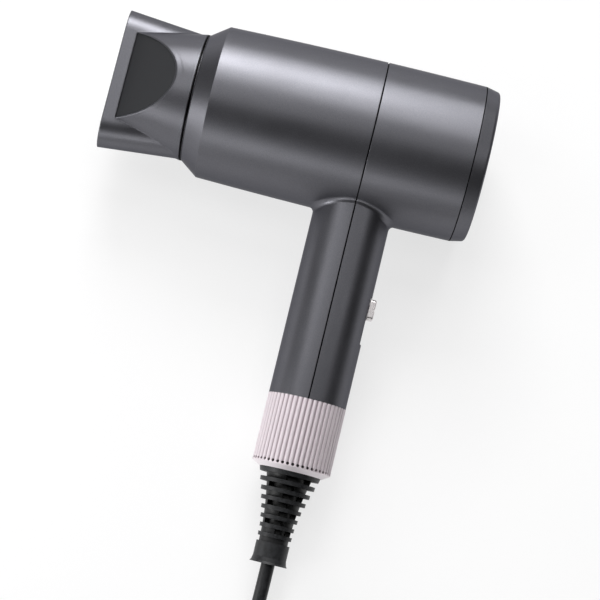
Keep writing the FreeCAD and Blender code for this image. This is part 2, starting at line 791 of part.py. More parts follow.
def inlet_grille():
    x1 = cap_end() - CAP_FACE
    x0 = x1 - INTAKE_THICK
    plate = rod(grille_r(), x0, x1)
    holes = [rod(INTAKE_HOLE_R, x0 - 1, x1 + 1)]
    for ring in range(1, INTAKE_RINGS + 1):
        for i in range(6 * ring):
            y, z = polar(INTAKE_PITCH * ring, 360 / (6 * ring) * i)
            holes.append(Part.makeCylinder(INTAKE_HOLE_R, INTAKE_THICK + 2, Vector(x0 - 1, y, z), X))
    return plate.cut(holes)


def inlet_filter():
    """Lint filter: a ring with crossed bars, against the cap's ledge."""
    x1 = cap_end() - CAP_FACE - INTAKE_THICK
    x0 = x1 - FILTER_THICK
    r = grille_r() - CAP_LEDGE - FIT
    bars = []
    count = int(r / FILTER_PITCH)
    for i in range(-count, count + 1):
        at = FILTER_PITCH * i
        bars.append(block(x0, x1, at - FILTER_BAR / 2, at + FILTER_BAR / 2, -r, r))
        bars.append(block(x0, x1, -r, r, at - FILTER_BAR / 2, at + FILTER_BAR / 2))
    net = Part.makeCompound(bars).common(rod(r - 0.5, x0, x1))
    return join([pipe(r, r - FILTER_RIM, x0, x1)] + net.Solids)


# ---- slide switch ----
def flat_x():
    return R_HANDLE - FLAT_DEPTH


def flat_bottom():
    return FLAT_TOP + KNOB_END_GAP + KNOB_LENGTH + KNOB_TRAVEL + KNOB_LOW_GAP


def switch_flat():
    cut_away = block(flat_x(), R_HANDLE + 5, -flat_bottom(), -FLAT_TOP, -R_HANDLE, R_HANDLE)
    half = KNOB_WIDTH / 2
    low = -flat_bottom() + PLATE_MARGIN
    high = -FLAT_TOP - PLATE_MARGIN
    bed = block(flat_x() - PLATE_THICK, R_HANDLE, low, high, -half, half)
    return cut_away.fuse(bed)


def knob_middle():
    return FLAT_TOP + KNOB_END_GAP + KNOB_LENGTH / 2


def switch_slot(grow):
    """Slot that the knob's stem runs in."""
    top = knob_middle() - STEM_LENGTH / 2 - TURN_GAP
    bottom = knob_middle() + KNOB_TRAVEL + STEM_LENGTH / 2 + TURN_GAP
    half = STEM_WIDTH / 2 + TURN_GAP + grow
    return block(switch_top() - STEM_DEPTH, R_HANDLE + 1, -bottom - grow, -top + grow, -half, half)


def switch_plate():
    """Thin dark plate on the flat, under the knob."""
    half = KNOB_WIDTH / 2 - FIT
    top = FLAT_TOP + PLATE_MARGIN + FIT
    bottom = flat_bottom() - PLATE_MARGIN - FIT
    plate = block(flat_x() - PLATE_THICK, flat_x(), -bottom, -top, -half, half)
    return plate.cut(switch_slot(0))


def switch_knob():
    low = flat_x() + TURN_GAP
    high = R_HANDLE + KNOB_PROUD
    top = knob_middle() - KNOB_LENGTH / 2
    bottom = knob_middle() + KNOB_LENGTH / 2
    half = KNOB_WIDTH / 2 - 0.2
    pad = block(low, high, -bottom, -top, -half, half)
    upright = [e for e in pad.Edges if abs(e.BoundBox.XLength - (high - low)) < 0.01]
    pad = pad.makeFillet(KNOB_ROUND, upright)
    crown = [e for e in pad.Edges if e.BoundBox.XMin > high - 0.01]
    pad = pad.makeFillet(KNOB_ROUND / 2, crown)
    groove_at = Vector(high + KNOB_GROOVE * 0.3, -knob_middle(), -half - 1)
    groove = Part.makeCylinder(KNOB_GROOVE, 2 * half + 2, groove_at, Z)
    stem_half = STEM_LENGTH / 2
    stem = block(switch_top() - STEM_DEPTH + TURN_GAP * 2, low + 0.5, -knob_middle() - stem_half,
                 -knob_middle() + stem_half, -STEM_WIDTH / 2, STEM_WIDTH / 2)
    return join([pad.cut(groove), stem])


def switch_top():
    """Highest that the switch's block can sit under the handle's round wall."""
    inside = R_HANDLE - WALL
    return math.sqrt(inside ** 2 - (SWITCH_WIDTH / 2) ** 2) - SWITCH_GAP


def switch_middle():
    return knob_middle() + KNOB_TRAVEL / 2


def switch_body():
    x1 = switch_top()
    half = SWITCH_LENGTH / 2
    body = block(x1 - SWITCH_DEPTH, x1, -switch_middle() - half, -switch_middle() + half,
                 -SWITCH_WIDTH / 2, SWITCH_WIDTH / 2)
    return body.cut(switch_slot(0))


def board_x():
    return switch_top() - SWITCH_DEPTH


def switch_board():
    half = SWITCH_BOARD_LENGTH / 2
    x1 = board_x()
    board = block(x1 - BOARD_THICK, x1, -switch_middle() - half, -switch_middle() + half,
                  -SWITCH_BOARD_WIDTH / 2, SWITCH_BOARD_WIDTH / 2)
    low = x1 - BOARD_THICK
    capacitor = Part.makeCylinder(CAPACITOR_R, CAPACITOR_LENGTH, Vector(low, -switch_middle() - 2, 0), -X)
    chip_y = -switch_middle() + 2 * CAPACITOR_R
    chip = block(low - CHIP, low, chip_y, chip_y + 4 * CHIP, -2.5 * CHIP, 2.5 * CHIP)
    return join([board, capacitor, chip])


def switch_rails():
    """Ribs inside the rear shell that the switch's board is held against."""
    half = SWITCH_BOARD_LENGTH / 2 - 2
    inside = grip_rod(R_HANDLE - WALL + 0.4, FLAT_TOP - half, flat_bottom() + half)
    rails = []
    for side in (-1, 1):
        z0 = side * (SWITCH_BOARD_WIDTH / 2 - RAIL_WIDTH / 2)
        rail = block(board_x(), R_HANDLE, -switch_middle() - half, -switch_middle() + half,
                     z0 - RAIL_WIDTH / 2, z0 + RAIL_WIDTH / 2)
        rails.append(rail.common(inside))
    return rails


# ---- collar ----
def collar_bottom():
    return HANDLE_LENGTH + COLLAR_LENGTH


def collar_r():
    return R_HANDLE + COLLAR_PROUD


def flute_ring(distance):
    """Wire of rounded ribs round the handle's axis."""
    valley = collar_r() - FLUTE_DEPTH
    edges = []
    for i in range(FLUTES):
        a0 = 360 / FLUTES * i
        a1 = a0 + 360 / FLUTES
        points = []
        for r, a in ((valley, a0), (collar_r(), (a0 + a1) / 2), (valley, a1)):
            z, x = polar(r, a)
            points.append(Vector(x, -distance, z))
        edges.append(Part.Arc(*points).toShape())
    return Part.Wire(edges)


def grip_collar():
    """Fluted sleeve that holds the two shells' lower ends together."""
    top = HANDLE_LENGTH
    bottom = collar_bottom()
    straight = bottom - COLLAR_CHAMFER
    dimple_at = straight - DIMPLE_R - DIMPLE_ABOVE
    shoulder = dimple_at + FLUTE_PAST
    ribs = Part.Face(flute_ring(top)).extrude(-Y * (shoulder + FUSE_LAP - top))
    end_r = collar_r() - COLLAR_CHAMFER_IN
    profile = [(shoulder, 0), (shoulder, collar_r()), (straight, collar_r()), (bottom, end_r), (bottom, 0)]
    sleeve = ribs.fuse(turned_on_grip(profile))
    bore_r = R_HANDLE - SPIGOT_STEP
    bore = grip_rod(bore_r, top - 1, bottom - COLLAR_FLOOR)
    floor_hole = grip_rod(RELIEF_NECK_R + FIT, bottom - COLLAR_FLOOR - 1, bottom + 1)
    dimples = []
    for i in range(FLUTES):
        z, x = polar(collar_r() - FLUTE_DEPTH / 2, 360 / FLUTES * i)
        outwards = Vector(x, 0, z)
        dimples.append(Part.makeSphere(DIMPLE_R, outwards - Y * dimple_at, outwards))
    return sleeve.cut([bore, floor_hole] + dimples)


# ---- strain relief ----
def relief_end():
    return collar_bottom() + RELIEF_FLANGE + RELIEF_PITCH * (len(RELIEF_RINGS) + 0.5) + CUFF_LENGTH


def core_r_at(distance):
    """The relief's core narrows quickly at first and then slowly."""
    start = collar_bottom() + RELIEF_FLANGE
    span = RELIEF_PITCH * (len(RELIEF_RINGS) + 0.5)
    share = (distance - start) / span
    return RELIEF_CORE_END + (RELIEF_CORE_TOP - RELIEF_CORE_END) * (1 - share) ** 2


def relief_gaps():
    """Start and end of each gap between two rings."""
    gaps = []
    start = collar_bottom() + RELIEF_FLANGE
    for i in range(len(RELIEF_RINGS) + 1):
        end = collar_bottom() + RELIEF_FLANGE + RELIEF_PITCH * (i + 1) - RELIEF_RING_THICK
        gaps.append((start, end))
        start = end + RELIEF_RING_THICK
    return gaps


def strain_relief():
    """Rubber sleeve of rings on a narrowing core, with slits that let it bend."""
    top = collar_bottom()
    gaps = relief_gaps()
    flange_low_r = RELIEF_FLANGE_R - 0.6
    profile = [(top - COLLAR_FLOOR - RELIEF_HEAD, 0), (top - COLLAR_FLOOR - RELIEF_HEAD, RELIEF_HEAD_R)]
    profile += [(top - COLLAR_FLOOR, RELIEF_HEAD_R), (top - COLLAR_FLOOR, RELIEF_NECK_R)]
    profile += [(top, RELIEF_NECK_R), (top, RELIEF_FLANGE_R), (top + RELIEF_FLANGE, flange_low_r)]
    for (start, end), r in zip(gaps, RELIEF_RINGS):
        profile += [(start, core_r_at(start)), (end, core_r_at(end))]
        profile += [(end, r), (end + RELIEF_RING_THICK, r - 0.15)]
    cuff = gaps[-1][1]
    profile += [(gaps[-1][0], core_r_at(gaps[-1][0])), (cuff, core_r_at(cuff)), (cuff, CUFF_R)]
    profile += [(relief_end() - CUFF_FLARE, CUFF_R), (relief_end() - CUFF_FLARE / 3, CUFF_R + 0.45)]
    profile += [(relief_end(), CUFF_FLARE_R), (relief_end(), 0)]
    sleeve = turned_on_grip(profile)
    cuts = [grip_rod(CORD_D / 2 + CORD_SLACK, top - 50, relief_end() + 1)]
    for i, (start, end) in enumerate(gaps[:-1]):
        r_out = core_r_at(start) + 1
        r_in = core_r_at(end) - RELIEF_SLIT_DEPTH
        for side in (0, 180):
            middle = RELIEF_SLIT_TURNS[i % 2] + side
            cuts.append(ring_part(r_in, r_out, start, end, middle, RELIEF_SLIT_SPAN))
    return sleeve.cut(cuts)


def ring_part(r_in, r_out, start, end, middle, span):
    """Sector of a ring about the handle's axis, its middle turned from Z."""
    points = [(start, r_in), (end, r_in), (end, r_out), (start, r_out)]
    face = Part.Face(Part.makePolygon([Vector(0, -d, r) for d, r in points + points[:1]]))
    sector = face.revolve(ORIGIN, Y, span)
    sector.rotate(ORIGIN, Y, middle - span / 2)
    return sector


# ---- lead inside the handle ----
def clamp_at():
    return collar_bottom() - CLAMP_ABOVE


def sheath_end():
    return clamp_at() - CLAMP_WIDTH / 2 - 3


def cord_inner():
    return grip_rod(CORD_D / 2, sheath_end(), relief_end())


def clamp_screw_z():
    return [-CLAMP_SCREW_SPACING / 2, CLAMP_SCREW_SPACING / 2]


def cord_posts():
    """Two screw posts and a cradle for the lead, inside the front shell."""
    inside = grip_rod(R_HANDLE - SPIGOT_STEP - SLIP - WALL / 2, HANDLE_LENGTH, collar_bottom())
    posts = []
    for z in clamp_screw_z():
        length = R_HANDLE + CORD_D / 2 - 0.1
        post = Part.makeCylinder(CLAMP_BOSS_R, length, Vector(-R_HANDLE, -clamp_at(), z), X)
        posts.append(post.common(inside))
    half = CLAMP_SCREW_SPACING / 2 - CLAMP_BOSS_R / 2
    cradle = block(-R_HANDLE, -1, -clamp_at() - CLAMP_WIDTH / 2, -clamp_at() + CLAMP_WIDTH / 2, -half, half)
    posts.append(cradle.common(inside))
    return posts


def cord_post_holes():
    holes = []
    for z in clamp_screw_z():
        holes.append(Part.makeCylinder(CLAMP_SCREW_R, 12, Vector(CORD_D / 2 - 11, -clamp_at(), z), X))
    return holes


def cord_seat():
    return grip_rod(CORD_D / 2 + CORD_SLACK, clamp_at() - CLAMP_WIDTH, clamp_at() + CLAMP_WIDTH)


def cord_clamp():
    x0 = CORD_D / 2
    bar = block(x0, x0 + CLAMP_THICK, -clamp_at() - CLAMP_WIDTH / 2, -clamp_at() + CLAMP_WIDTH / 2,
                -CLAMP_SPAN / 2, CLAMP_SPAN / 2)
    upright = [e for e in bar.Edges if abs(e.BoundBox.XLength - CLAMP_THICK) < 0.01]
    bar = bar.makeFillet(CLAMP_BOSS_R * 0.7, upright)
    holes = []
    for z in clamp_screw_z():
        start = Vector(x0 - 1, -clamp_at(), z)
        holes.append(Part.makeCylinder(CLAMP_SCREW_R + SLIP, CLAMP_THICK + 2, start, X))
    return bar.cut(holes)


def clamp_screws():
    screws = []
    seat = CORD_D / 2 + CLAMP_THICK
    for z in clamp_screw_z():
        stem = Part.makeCylinder(CLAMP_SCREW_R, 12, Vector(seat - 12, -clamp_at(), z), X)
        head = Part.makeCylinder(CLAMP_HEAD_R, CLAMP_HEAD, Vector(seat, -clamp_at(), z), X)
        slot = block(seat + CLAMP_HEAD / 2, seat + CLAMP_HEAD + 1, -FAR, FAR, z - 0.3, z + 0.3)
        screws.append(stem.fuse(head).cut(slot))
    return Part.makeCompound(screws)


def lead_x():
    return -MOTOR_FRONT - BOARD_GAP - LEAD_R


def inner_leads():
    """Pairs of wires: lead to switch, switch to motor, motor to heater."""
    under_board = board_x() - BOARD_THICK - LEAD_R - 0.1
    low = -switch_middle() - SWITCH_BOARD_LENGTH / 2
    high = -switch_middle() + SWITCH_BOARD_LENGTH / 2
    wires = []
    for side in (-1, 1):
        supply = [(0, 0.1 - sheath_end(), 1.6 * side), (0.4, low - 22, 2.0 * side)]
        supply += [(under_board - 1, low - 5, 4.4 * side), (under_board, low + 7, 5.0 * side)]
        feed = [(under_board, high - 6, 5.0 * side), (under_board - 0.6, high + 8, 4.4 * side)]
        feed += [(lead_x() + 6, -R_MIDDLE - 3, 2.2 * side), (lead_x(), -duct_r() - 2, 2.0 * side)]
        feed += [(lead_x() - 0.1, -MOTOR_R + 1.2, 1.9 * side)]
        wires.append(bent_bar([Vector(*p) for p in supply], LEAD_R))
        wires.append(bent_bar([Vector(*p) for p in feed], LEAD_R))
    board_front = -MOTOR_FRONT - BOARD_GAP - BOARD_THICK - 0.1
    ends = [(THERMOSTAT_SIDE + THERMOSTAT_WIDTH / 2, MICA / 2 + THERMOSTAT_THICK / 2)]
    ends.append((-FUSE_SIDE, MICA / 2 + FUSE_R))
    for y, z in ends:
        start = mica_rear() - MICA
        wire = Part.makeCylinder(LEAD_R * 0.8, board_front - start, Vector(start, y, z), X)
        wires.append(wire)
    return Part.makeCompound(wires)


# ---- free lead, coil and plug ----
def arc_radius(before, corner, after):
    """0.45 of the shorter run over the tangent of half the turn."""
    turn = (corner - before).getAngle(after - corner)
    shorter = min((corner - before).Length, (after - corner).Length)
    return 0.45 * shorter / math.tan(turn / 2)


def route_wire(points):
    """Straight runs joined by tangent arcs."""
    edges = []
    last = points[0]
    for before, corner, after in zip(points, points[1:], points[2:]):
        back = (before - corner).normalize()
        ahead = (after - corner).normalize()
        turn = (corner - before).getAngle(after - corner)
        radius = arc_radius(before, corner, after)
        reach = radius * math.tan(turn / 2)
        start = corner + back * reach
        end = corner + ahead * reach
        inward = (back + ahead).normalize()
        middle = corner + inward * (radius / math.cos(turn / 2) - radius)
        edges.append(Part.LineSegment(last, start).toShape())
        edges.append(Part.Arc(start, middle, end).toShape())
        last = end
    edges.append(Part.LineSegment(last, points[-1]).toShape())
    return Part.Wire(edges)


def bent_bar(points, r):
    wire = route_wire(points)
    section = Part.Wire(Part.makeCircle(r, points[0], points[1] - points[0]))
    return wire.makePipeShell([section], True, False)


def print_route(name, points):
    radii = []
    for before, corner, after in zip(points, points[1:], points[2:]):
        radii.append(round(arc_radius(before, corner, after), 1))
    print(name, "length", round(route_wire(points).Length, 1), "radii", radii)


def coil_section(grow):
    """Outline of the wound lead, out from the coil's middle and up from the table."""
    r_in = min(COIL_TURN_R) - CORD_D / 2 - grow
    r_out = max(COIL_TURN_R) + CORD_D / 2 + grow
    low = TIE_THICK - grow
    shoulder = TIE_THICK + COIL_LAYERS * CORD_D + grow
    top = shoulder + CORD_D
    middle = COIL_TURN_R[1]
    half = CORD_D / 2 + grow
    return [(r_in, low), (r_out, low), (r_out, shoulder), (middle + half, top), (middle - half, top),
            (r_in, shoulder)]


def coil_solid(grow, start, span):
    cx, cy = COIL_CENTRE
    points = [Vector(cx + r, cy, z) for r, z in coil_section(grow)]
    face = Part.Face(Part.makePolygon(points + [points[0]]))
    solid = face.revolve(Vector(cx, cy, 0), Z, span)
    solid.rotate(Vector(cx, cy, 0), Z, start)
    return solid


def cord_coil():
    return coil_solid(0, 0, 360)


def cable_tie():
    """Strap once round the coil."""
    half = math.degrees(TIE_WIDTH / 2 / COIL_TURN_R[1])
    strap = coil_solid(TIE_THICK, TIE_ANGLE - half, 2 * half)
    return strap.cut(cord_coil())


def plug_body():
    neck = Part.makeCone(PLUG_NECK_END_R, PLUG_NECK_R, PLUG_NECK, ORIGIN, X)
    half_width = PLUG_WIDTH / 2
    half_height = PLUG_HEIGHT / 2
    flare_start = ring_wire(PLUG_NECK, PLUG_NECK_R)
    flare_end = stadium(PLUG_NECK + PLUG_BODY, half_width - 1, half_height - 1)
    flare = Part.makeLoft([flare_start, flare_end], True, True)
    face = Part.Face(stadium(PLUG_NECK + PLUG_BODY, half_width, half_height))
    flange = face.extrude(X * PLUG_FACE)
    holes = [pin_root(y) for y in (-PIN_SPACING / 2, PIN_SPACING / 2)]
    return put_plug(join([neck, flare, flange]).cut(holes))


def plug_front():
    return PLUG_NECK + PLUG_BODY + PLUG_FACE


def pin_root(y):
    """Thinner end of a pin, moulded into the plug."""
    return Part.makeCylinder(PIN_ROOT_R, PIN_ROOT, Vector(plug_front() - PIN_ROOT, y, 0), X)


def plug_pins():
    pins = []
    tip = PIN_LENGTH - PIN_R
    for y in (-PIN_SPACING / 2, PIN_SPACING / 2):
        shank = Part.makeCylinder(PIN_R, tip, Vector(plug_front(), y, 0), X)
        nose = Part.makeSphere(PIN_R, Vector(plug_front() + tip, y, 0))
        pins.append(join([pin_root(y), shank, nose]))
    return put_plug(Part.makeCompound(pins))


def put_plug(shape):
    shape.rotate(ORIGIN, Z, PLUG_HEADING)
    shape.translate(Vector(PLUG_END[0], PLUG_END[1], PLUG_HEIGHT / 2))
    return shape


# ---- placing on the table ----
def tilt():
    """Slope of the handle when barrel and collar both touch the table."""
    reach = collar_bottom() - COLLAR_CHAMFER
    far = math.hypot(reach, collar_r())
    return math.asin(R_MIDDLE / far) - math.atan2(collar_r(), reach)


def handle_direction():
    return Vector(0, -math.cos(tilt()), -math.sin(tilt()))


def place(shape, shift):
    shape.rotate(ORIGIN, X, math.degrees(tilt()))
    shape.translate(shift)
    return shape


def table_shift():
    """Puts the middle of the dryer's box, without its free lead, at the origin."""
    slope = tilt()
    back = max(cap_end(), BARREL_REAR)
    y_low = -relief_end() * math.cos(slope) - CUFF_FLARE_R * math.sin(slope)
    return Vector(-(mouth_x() + back) / 2, -(R_MIDDLE + y_low) / 2, R_MIDDLE)


def relief_exit(shift):
    """Where the lead leaves the strain relief."""
    return handle_direction() * relief_end() + shift


def lead_points(height):
    start = Vector(0, 0, height)
    points = [start, start + handle_direction() * LEAD_FIRST_RUN]
    return points + [Vector(*p) for p in LEAD_ROUTE]


def tail_points():
    points = [Vector(*p) for p in TAIL_ROUTE]
    return points + [Vector(PLUG_END[0], PLUG_END[1], PLUG_HEIGHT / 2)]


DRYER_PIECES = [
    front_shell, rear_shell, shell_screws, magnet_ring, outlet_grille,
    nozzle_ring, nozzle_shell, nozzle_core, nozzle_inlays,
    heater_sleeve, heater_cross, heater_windings, thermostat, thermal_fuse,
    fan_duct, duct_gasket, motor_can, motor_cap, motor_magnets, motor_bearings,
    motor_armature, motor_shaft, fan, motor_board,
    rear_cap, inlet_grille, inlet_filter,
    switch_plate, switch_knob, switch_body, switch_board, inner_leads,
    cord_clamp, clamp_screws, cord_inner, grip_collar, strain_relief,
]
LEAD_PIECES = [cord_coil, cable_tie, plug_body, plug_pins]


def save(name, shape):
    shape.exportStep("parts/" + name + ".step")
    kind = "ok" if shape.isValid() else "NOT VALID"
    print(name, kind, len(shape.Solids), round(shape.Volume, 1))


def build():
    os.makedirs("parts", exist_ok=True)
    shift = table_shift()
    print("tilt", round(math.degrees(tilt()), 3), "shift", [round(v, 3) for v in shift])
    for piece in DRYER_PIECES:
        save(piece.__name__, place(piece(), shift))
    leave = relief_exit(shift)
    on_table = Vector(leave.x, leave.y, 0)
    for piece in LEAD_PIECES:
        shape = piece()
        shape.translate(on_table)
        save(piece.__name__, shape)
    for name, points in (("cord_lead", lead_points(leave.z)), ("cord_tail", tail_points())):
        print_route(name, points)
        save(name, bent_bar([p + on_table for p in points], CORD_D / 2))


build()
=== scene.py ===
"""Looks of a hair dryer: its finishes, its lead, the light and the camera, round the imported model."""

import json
import math

import bmesh
import bpy
from mathutils import Matrix, Vector


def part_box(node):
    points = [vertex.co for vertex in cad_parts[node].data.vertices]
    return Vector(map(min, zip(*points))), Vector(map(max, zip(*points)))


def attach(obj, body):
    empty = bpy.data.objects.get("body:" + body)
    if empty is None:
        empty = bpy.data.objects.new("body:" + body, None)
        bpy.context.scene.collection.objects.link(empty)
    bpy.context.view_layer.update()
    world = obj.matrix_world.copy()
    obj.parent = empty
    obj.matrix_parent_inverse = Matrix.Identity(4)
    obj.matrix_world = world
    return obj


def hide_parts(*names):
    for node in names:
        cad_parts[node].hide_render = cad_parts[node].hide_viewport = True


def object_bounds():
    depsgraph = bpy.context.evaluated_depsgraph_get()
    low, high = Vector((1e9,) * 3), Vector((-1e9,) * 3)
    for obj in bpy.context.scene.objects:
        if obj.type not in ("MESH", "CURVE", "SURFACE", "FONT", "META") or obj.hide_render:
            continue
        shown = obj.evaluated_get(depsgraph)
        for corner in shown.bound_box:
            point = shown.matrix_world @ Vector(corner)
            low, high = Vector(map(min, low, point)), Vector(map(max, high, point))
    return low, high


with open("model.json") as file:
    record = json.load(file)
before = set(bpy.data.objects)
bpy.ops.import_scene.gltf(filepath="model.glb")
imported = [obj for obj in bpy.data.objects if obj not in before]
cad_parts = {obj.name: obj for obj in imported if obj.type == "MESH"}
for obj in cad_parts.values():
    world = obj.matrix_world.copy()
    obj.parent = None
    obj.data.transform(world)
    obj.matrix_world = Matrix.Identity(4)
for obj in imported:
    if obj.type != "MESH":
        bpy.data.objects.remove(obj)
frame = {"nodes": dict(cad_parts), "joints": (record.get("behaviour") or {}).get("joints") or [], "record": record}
cad_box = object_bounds()
NODES = frame["nodes"]
MM = 0.001


# ---- places read from the model ----
def joint_axis(name):
    for joint in frame["joints"]:
        if joint["name"] == name:
            return Vector(joint["axis"]).normalized()
    raise KeyError(name)


def middle(node):
    low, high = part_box(node)
    return (low + high) / 2


def handle_root():
    """Where the handle's axis meets the barrel's."""
    barrel = middle("rear_cap")
    return Vector((middle("grip_collar").x, barrel.y, barrel.z))


ROOT = handle_root()
DOWN_HANDLE = joint_axis("switch_slide")


def along_handle(node):
    """How far down the handle's axis a node starts and ends."""
    reach = [(v.co - ROOT).dot(DOWN_HANDLE) for v in NODES[node].data.vertices]
    return min(reach), max(reach)


def round_handle(node):
    """How far a node reaches from the handle's axis."""
    return max((v.co - ROOT).cross(DOWN_HANDLE).length for v in NODES[node].data.vertices)


RELIEF_END = ROOT + DOWN_HANDLE * along_handle("strain_relief")[1]


# ---- camera ----
VIEW_MIDDLE = Vector((0.02239, 0.0022, 0.030))     # what the camera and the lamps are turned to
CAMERA_BACK = 1.02              # metres from there
CAMERA_LEAN = math.radians(14.1)    # from straight overhead, towards the handle's end
CAMERA_ROLL = math.radians(13.25)
CAMERA_LENS = 120.0             # millimetres, as is the sensor's width
SENSOR_WIDTH = 36.0
CAMERA_NEAR = 0.01              # metres, where its view starts


def add_camera():
    back = Vector((0, -math.sin(CAMERA_LEAN), math.cos(CAMERA_LEAN)))
    up = Vector((-math.sin(CAMERA_ROLL), math.cos(CAMERA_ROLL), 0))
    right = up.cross(back).normalized()
    up = back.cross(right)
    turn = Matrix((right, up, back)).transposed().to_4x4()
    data = bpy.data.cameras.new("camera")
    data.lens = CAMERA_LENS
    data.sensor_width = SENSOR_WIDTH
    data.clip_start = CAMERA_NEAR
    camera = bpy.data.objects.new("camera", data)
    camera.matrix_world = Matrix.Translation(VIEW_MIDDLE + back * CAMERA_BACK) @ turn
    bpy.context.scene.collection.objects.link(camera)
    bpy.context.scene.camera = camera


add_camera()


# ---- mains lead ----
CORD_D = 7 * MM
LEAD_FIRST_RUN = 14.5 * MM      # straight out of the strain relief
LEAD_ROUTE = [(-0.35, -28.7, 9.2), (-0.2, -42.7, 6.0), (0.85, -56.7, 4.4)]      # down onto the table
COIL_CENTRE = (44.0, -73.0)     # routes and coil are in the millimetres of on_table
COIL_START = 180.0              # degrees, where the lead runs onto the coil
TURN_POINTS = 16                # points in each turn
SLIDE_POINTS = 4                # of them for the slide to the next turn
BOTTOM, MIDDLE, TOP = 4.3, 11.3, 18.3       # heights of the turns' middles
INNER_TURN, MIDDLE_TURN, OUTER_TURN = 29.0, 36.0, 43.0      # their radii
COIL_TURNS = [                  # each turn's radius and height
    (OUTER_TURN, BOTTOM), (MIDDLE_TURN, BOTTOM), (INNER_TURN, BOTTOM),
    (INNER_TURN, MIDDLE), (MIDDLE_TURN, MIDDLE), (OUTER_TURN, MIDDLE),
    (MIDDLE_TURN, TOP),
]
TAIL_ROUTE = [(1.1, -75.4, 18.3), (-9.6, -87.2, 17.3), (-23.5, -95.2, 15.2), (-39.1, -98.6, 13.0)]
PLUG_END = (-54.1, -98.6, 13.0)     # where the lead runs into the plug


def on_table(x, y, z):
    """A step from the point of the table under the end of the strain relief, in millimetres."""
    return Vector((RELIEF_END.x + x * MM, RELIEF_END.y + y * MM, z * MM))


def coil_point(angle, radius, height):
    a = math.radians(angle)
    return on_table(COIL_CENTRE[0] + radius * math.cos(a), COIL_CENTRE[1] + radius * math.sin(a), height)


def coil_points():
    """Turns beside and on each other. In its last part each slides over to the next one's radius and
    height. The last turn stops a step before it closes, where the lead leaves the coil."""
    points = []
    next_turns = COIL_TURNS[1:] + COIL_TURNS[-1:]
    for number, (turn, after) in enumerate(zip(COIL_TURNS, next_turns)):
        for i in range(TURN_POINTS):
            angle = COIL_START + 360 * (number + i / TURN_POINTS)
            share = max(0, i - (TURN_POINTS - SLIDE_POINTS)) / SLIDE_POINTS
            radius = turn[0] + (after[0] - turn[0]) * share
            height = turn[1] + (after[1] - turn[1]) * share
            points.append(coil_point(angle, radius, height))
    return points[:-1]


def lead_route():
    points = [RELIEF_END, RELIEF_END + DOWN_HANDLE * LEAD_FIRST_RUN]
    points += [on_table(*p) for p in LEAD_ROUTE]
    points += coil_points()
    points += [on_table(*p) for p in TAIL_ROUTE]
    return points + [on_table(*PLUG_END)]


def add_lead():
    data = bpy.data.curves.new("mains_lead", "CURVE")
    data.dimensions = "3D"
    data.bevel_depth = 1.0          # times each point's own radius
    data.bevel_resolution = 6
    data.resolution_u = 8
    data.use_fill_caps = True
    spline = data.splines.new("NURBS")
    route = lead_route()
    spline.points.add(len(route) - 1)
    for point, place in zip(spline.points, route):
        point.co = (*place, 1)
        point.radius = CORD_D / 2
    spline.order_u = 3
    spline.use_endpoint_u = True
    lead = bpy.data.objects.new("mains_lead", data)
    bpy.context.scene.collection.objects.link(lead)
    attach(lead, "housing")
    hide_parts("cord_lead", "cord_coil", "cord_tail")
    return lead


mains_lead = add_lead()


# ---- nodes of a material ----
def linear(code):
    """A hex sRGB colour as linear values."""
    shades = [int(code[i:i + 2], 16) / 255 for i in (1, 3, 5)]
    channels = [c / 12.92 if c <= 0.04045 else ((c + 0.055) / 1.055) ** 2.4 for c in shades]
    return (*channels, 1.0)


def add(tree, kind, settings=None, inputs=None):
    """Add one node and give its outputs. An input is a value, a hex colour or an output to link, and
    the setting stops is a colour ramp's (place, hex colour or grey value) pairs."""
    node = tree.nodes.new(kind)
    for name, value in (settings or {}).items():
        if name != "stops":
            setattr(node, name, value)
            continue
        band = node.color_ramp.elements
        while len(band) < len(value):
            band.new(1.0)
        for stop, (place, shade) in zip(band, value):
            stop.position = place
            stop.color = linear(shade) if isinstance(shade, str) else (shade, shade, shade, 1)
    for name, value in (inputs or {}).items():
        if isinstance(value, bpy.types.NodeSocket):
            tree.links.new(value, node.inputs[name])
        else:
            node.inputs[name].default_value = linear(value) if isinstance(value, str) else value
    return node.outputs


def grains(size_mm):
    """The scale of a pattern whose grains are size_mm across."""
    return 1 / (size_mm * MM)


def finish_of(name, inputs_of, *details):
    """A material whose shader takes the inputs that inputs_of(tree) works out."""
    material = bpy.data.materials.new(name)
    material.use_nodes = True
    tree = material.node_tree
    tree.nodes.clear()
    shader = add(tree, "ShaderNodeBsdfPrincipled", None, inputs_of(tree, *details))
    add(tree, "ShaderNodeOutputMaterial", None, {"Surface": shader["BSDF"]})
    return material


# ---- finishes ----
SHELL_EDGE, NOZZLE_EDGE = 0.4, 1.0      # how far the paint rounds off an edge, in millimetres
CAP_GAP = 0.3                   # between the rear shell and the cap, in millimetres
NOZZLE_LIP = 0.1                # millimetres of plain paint behind the nozzle's edge, and then the width of the band painted near black there as painted shade
NOZZLE_SHADE_WIDTH = 1.0
HOUSING_SEAM_SHADE = (ROOT.x, 0.33)   # the middle along the barrel of a band of painted shade over the shells' parting line, and half its width in millimetres
# Bands of painted shade over the cap's parting line and just behind the nozzle's edge.
CAP_SEAM_SHADE = (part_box("rear_shell")[1].x + CAP_GAP / 2 * MM, 0.28)
NOZZLE_SEAM_SHADE = (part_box("nozzle_shell")[1].x + (NOZZLE_LIP + NOZZLE_SHADE_WIDTH / 2) * MM, NOZZLE_SHADE_WIDTH / 2)
MIX_FIRST, MIX_SECOND, MIX_COLOUR = 6, 7, 2     # a mix node's sockets for colours


